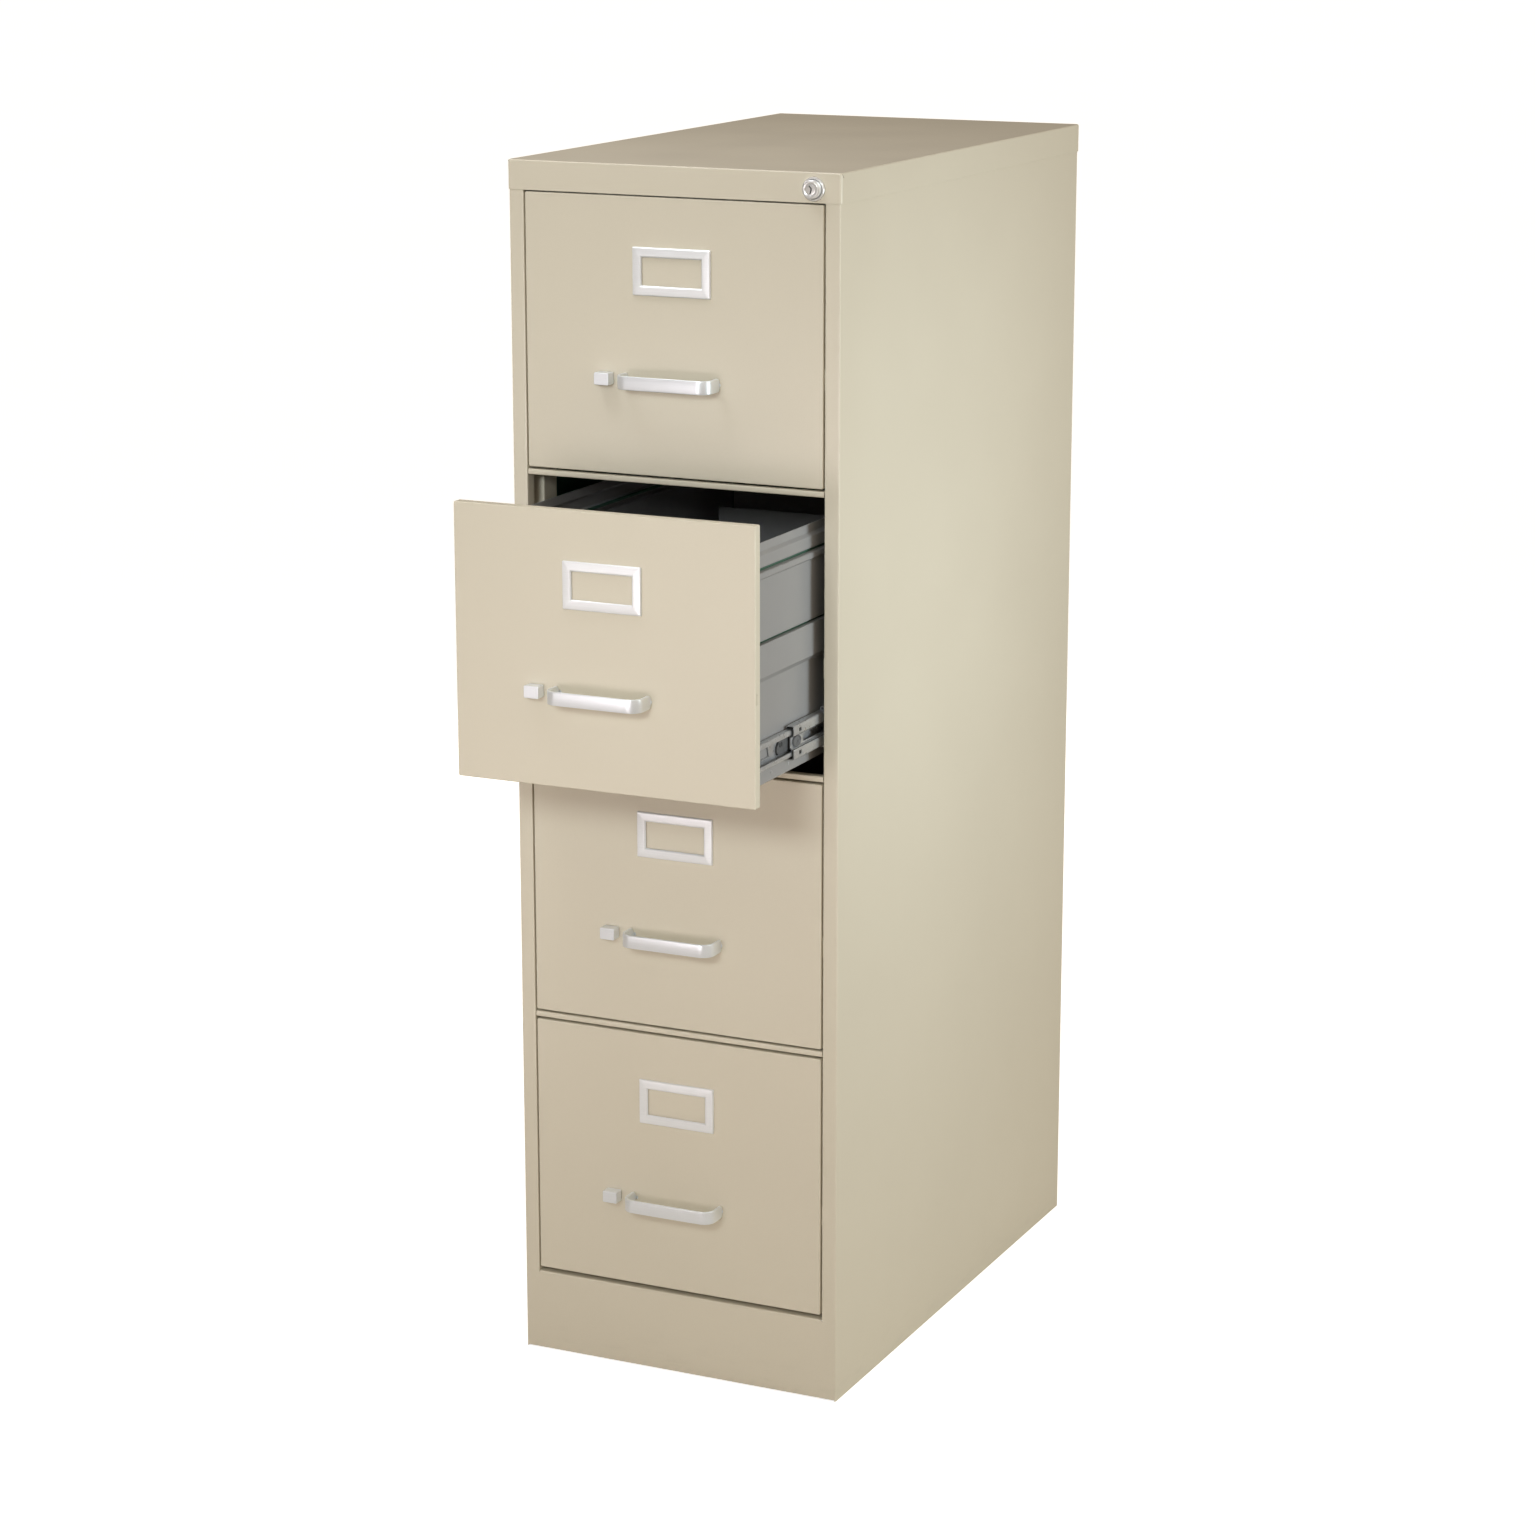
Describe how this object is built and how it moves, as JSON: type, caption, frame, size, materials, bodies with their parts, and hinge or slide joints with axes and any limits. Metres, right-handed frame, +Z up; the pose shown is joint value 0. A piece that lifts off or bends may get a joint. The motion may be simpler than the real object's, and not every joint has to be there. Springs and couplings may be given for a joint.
{
  "type": "vertical filing cabinet",
  "caption": "Tall narrow steel filing cabinet with drawers on telescoping slides, bow handles, label frames and a push lock.",
  "frame": {"origin": "on the floor, under the middle of the whole object's box as it stands at rest", "axes": "+Z up, -Y out of the drawer fronts, +X to the right of someone facing them"},
  "size_m": [0.381, 0.8648, 1.3208],
  "materials": {
    "putty_paint": "semi-matt baked enamel, putty beige",
    "grey_paint": "semi-matt baked enamel, mid grey",
    "zinc_steel": "zinc-plated cold-rolled steel",
    "satin_aluminium": "satin anodised",
    "chrome": "polished chrome plate",
    "dark_steel": "oiled mill steel"
  },
  "bodies": {
    "cabinet": {"left_side_panel": "putty_paint", "right_side_panel": "putty_paint", "top_panel": "putty_paint", "back_panel": "putty_paint", "base_kick_plate": "putty_paint", "front_rail_1": "putty_paint", "front_rail_2": "putty_paint", "front_rail_3": "putty_paint", "lock_housing": "chrome", "drawer_1_left_outer_slide": "zinc_steel", "drawer_1_right_outer_slide": "zinc_steel", "drawer_2_left_outer_slide": "zinc_steel", "drawer_2_right_outer_slide": "zinc_steel", "drawer_3_left_outer_slide": "zinc_steel", "drawer_3_right_outer_slide": "zinc_steel", "drawer_4_left_outer_slide": "zinc_steel", "drawer_4_right_outer_slide": "zinc_steel"},
    "drawer_1": {"drawer_1_front": "putty_paint", "drawer_1_tray": "grey_paint", "drawer_1_handle": "satin_aluminium", "drawer_1_label_frame": "satin_aluminium", "drawer_1_left_inner_slide": "zinc_steel", "drawer_1_right_inner_slide": "zinc_steel"},
    "drawer_1_left_middle_slide": {"drawer_1_left_middle_slide": "zinc_steel"},
    "drawer_1_right_middle_slide": {"drawer_1_right_middle_slide": "zinc_steel"},
    "drawer_1_latch": {"drawer_1_latch": "satin_aluminium"},
    "drawer_1_follower": {"drawer_1_follower": "grey_paint"},
    "drawer_2": {"drawer_2_front": "putty_paint", "drawer_2_tray": "grey_paint", "drawer_2_handle": "satin_aluminium", "drawer_2_label_frame": "satin_aluminium", "drawer_2_left_inner_slide": "zinc_steel", "drawer_2_right_inner_slide": "zinc_steel"},
    "drawer_2_left_middle_slide": {"drawer_2_left_middle_slide": "zinc_steel"},
    "drawer_2_right_middle_slide": {"drawer_2_right_middle_slide": "zinc_steel"},
    "drawer_2_latch": {"drawer_2_latch": "satin_aluminium"},
    "drawer_2_follower": {"drawer_2_follower": "grey_paint"},
    "drawer_3": {"drawer_3_front": "putty_paint", "drawer_3_tray": "grey_paint", "drawer_3_handle": "satin_aluminium", "drawer_3_label_frame": "satin_aluminium", "drawer_3_left_inner_slide": "zinc_steel", "drawer_3_right_inner_slide": "zinc_steel"},
    "drawer_3_left_middle_slide": {"drawer_3_left_middle_slide": "zinc_steel"},
    "drawer_3_right_middle_slide": {"drawer_3_right_middle_slide": "zinc_steel"},
    "drawer_3_latch": {"drawer_3_latch": "satin_aluminium"},
    "drawer_3_follower": {"drawer_3_follower": "grey_paint"},
    "drawer_4": {"drawer_4_front": "putty_paint", "drawer_4_tray": "grey_paint", "drawer_4_handle": "satin_aluminium", "drawer_4_label_frame": "satin_aluminium", "drawer_4_left_inner_slide": "zinc_steel", "drawer_4_right_inner_slide": "zinc_steel"},
    "drawer_4_left_middle_slide": {"drawer_4_left_middle_slide": "zinc_steel"},
    "drawer_4_right_middle_slide": {"drawer_4_right_middle_slide": "zinc_steel"},
    "drawer_4_latch": {"drawer_4_latch": "satin_aluminium"},
    "drawer_4_follower": {"drawer_4_follower": "grey_paint"},
    "lock_plunger": {"lock_plunger": "chrome"},
    "lock_key_plug": {"lock_key_plug": "chrome"},
    "lock_bar": {"lock_bar": "dark_steel"}
  },
  "joints": [
    {"name": "drawer_1_travel", "type": "slide", "parent": "cabinet", "child": "drawer_1", "axis": [0, -1, 0], "range_m": [0, 0.56]},
    {"name": "drawer_1_left_middle_travel", "type": "slide", "parent": "cabinet", "child": "drawer_1_left_middle_slide", "axis": [0, -1, 0], "range_m": [0, 0.28]},
    {"name": "drawer_1_right_middle_travel", "type": "slide", "parent": "cabinet", "child": "drawer_1_right_middle_slide", "axis": [0, -1, 0], "range_m": [0, 0.28]},
    {"name": "drawer_1_latch_slide", "type": "slide", "parent": "drawer_1", "child": "drawer_1_latch", "axis": [-1, 0, 0], "range_m": [0, 0.005], "stiffness_N_per_m": 300},
    {"name": "drawer_1_follower_travel", "type": "slide", "parent": "drawer_1", "child": "drawer_1_follower", "axis": [0, -1, 0], "range_m": [0, 0.48]},
    {"name": "drawer_2_travel", "type": "slide", "parent": "cabinet", "child": "drawer_2", "axis": [0, -1, 0], "range_m": [-0.162, 0.398]},
    {"name": "drawer_2_left_middle_travel", "type": "slide", "parent": "cabinet", "child": "drawer_2_left_middle_slide", "axis": [0, -1, 0], "range_m": [-0.081, 0.199]},
    {"name": "drawer_2_right_middle_travel", "type": "slide", "parent": "cabinet", "child": "drawer_2_right_middle_slide", "axis": [0, -1, 0], "range_m": [-0.081, 0.199]},
    {"name": "drawer_2_latch_slide", "type": "slide", "parent": "drawer_2", "child": "drawer_2_latch", "axis": [-1, 0, 0], "range_m": [0, 0.005], "stiffness_N_per_m": 300},
    {"name": "drawer_2_follower_travel", "type": "slide", "parent": "drawer_2", "child": "drawer_2_follower", "axis": [0, -1, 0], "range_m": [0, 0.48]},
    {"name": "drawer_3_travel", "type": "slide", "parent": "cabinet", "child": "drawer_3", "axis": [0, -1, 0], "range_m": [0, 0.56]},
    {"name": "drawer_3_left_middle_travel", "type": "slide", "parent": "cabinet", "child": "drawer_3_left_middle_slide", "axis": [0, -1, 0], "range_m": [0, 0.28]},
    {"name": "drawer_3_right_middle_travel", "type": "slide", "parent": "cabinet", "child": "drawer_3_right_middle_slide", "axis": [0, -1, 0], "range_m": [0, 0.28]},
    {"name": "drawer_3_latch_slide", "type": "slide", "parent": "drawer_3", "child": "drawer_3_latch", "axis": [-1, 0, 0], "range_m": [0, 0.005], "stiffness_N_per_m": 300},
    {"name": "drawer_3_follower_travel", "type": "slide", "parent": "drawer_3", "child": "drawer_3_follower", "axis": [0, -1, 0], "range_m": [0, 0.48]},
    {"name": "drawer_4_travel", "type": "slide", "parent": "cabinet", "child": "drawer_4", "axis": [0, -1, 0], "range_m": [0, 0.56]},
    {"name": "drawer_4_left_middle_travel", "type": "slide", "parent": "cabinet", "child": "drawer_4_left_middle_slide", "axis": [0, -1, 0], "range_m": [0, 0.28]},
    {"name": "drawer_4_right_middle_travel", "type": "slide", "parent": "cabinet", "child": "drawer_4_right_middle_slide", "axis": [0, -1, 0], "range_m": [0, 0.28]},
    {"name": "drawer_4_latch_slide", "type": "slide", "parent": "drawer_4", "child": "drawer_4_latch", "axis": [-1, 0, 0], "range_m": [0, 0.005], "stiffness_N_per_m": 300},
    {"name": "drawer_4_follower_travel", "type": "slide", "parent": "drawer_4", "child": "drawer_4_follower", "axis": [0, -1, 0], "range_m": [0, 0.48]},
    {"name": "lock_push", "type": "slide", "parent": "cabinet", "child": "lock_plunger", "axis": [0, 1, 0], "range_m": [0, 0.008]},
    {"name": "key_turn", "type": "hinge", "parent": "lock_plunger", "child": "lock_key_plug", "pos_m": [0.1601, -0.24075, 1.3038], "axis": [0, 1, 0], "range_deg": [0, 90]},
    {"name": "lock_bar_drop", "type": "slide", "parent": "cabinet", "child": "lock_bar", "axis": [0, 0, -1], "range_m": [0, 0.008]}
  ],
  "couplings": [
    {"joint": "drawer_1_left_middle_travel", "follows": "drawer_1_travel", "ratio": 0.5},
    {"joint": "drawer_1_right_middle_travel", "follows": "drawer_1_travel", "ratio": 0.5},
    {"joint": "drawer_2_left_middle_travel", "follows": "drawer_2_travel", "ratio": 0.5},
    {"joint": "drawer_2_right_middle_travel", "follows": "drawer_2_travel", "ratio": 0.5},
    {"joint": "drawer_3_left_middle_travel", "follows": "drawer_3_travel", "ratio": 0.5},
    {"joint": "drawer_3_right_middle_travel", "follows": "drawer_3_travel", "ratio": 0.5},
    {"joint": "drawer_4_left_middle_travel", "follows": "drawer_4_travel", "ratio": 0.5},
    {"joint": "drawer_4_right_middle_travel", "follows": "drawer_4_travel", "ratio": 0.5},
    {"joint": "lock_bar_drop", "follows": "lock_push", "ratio": 1}
  ]
}
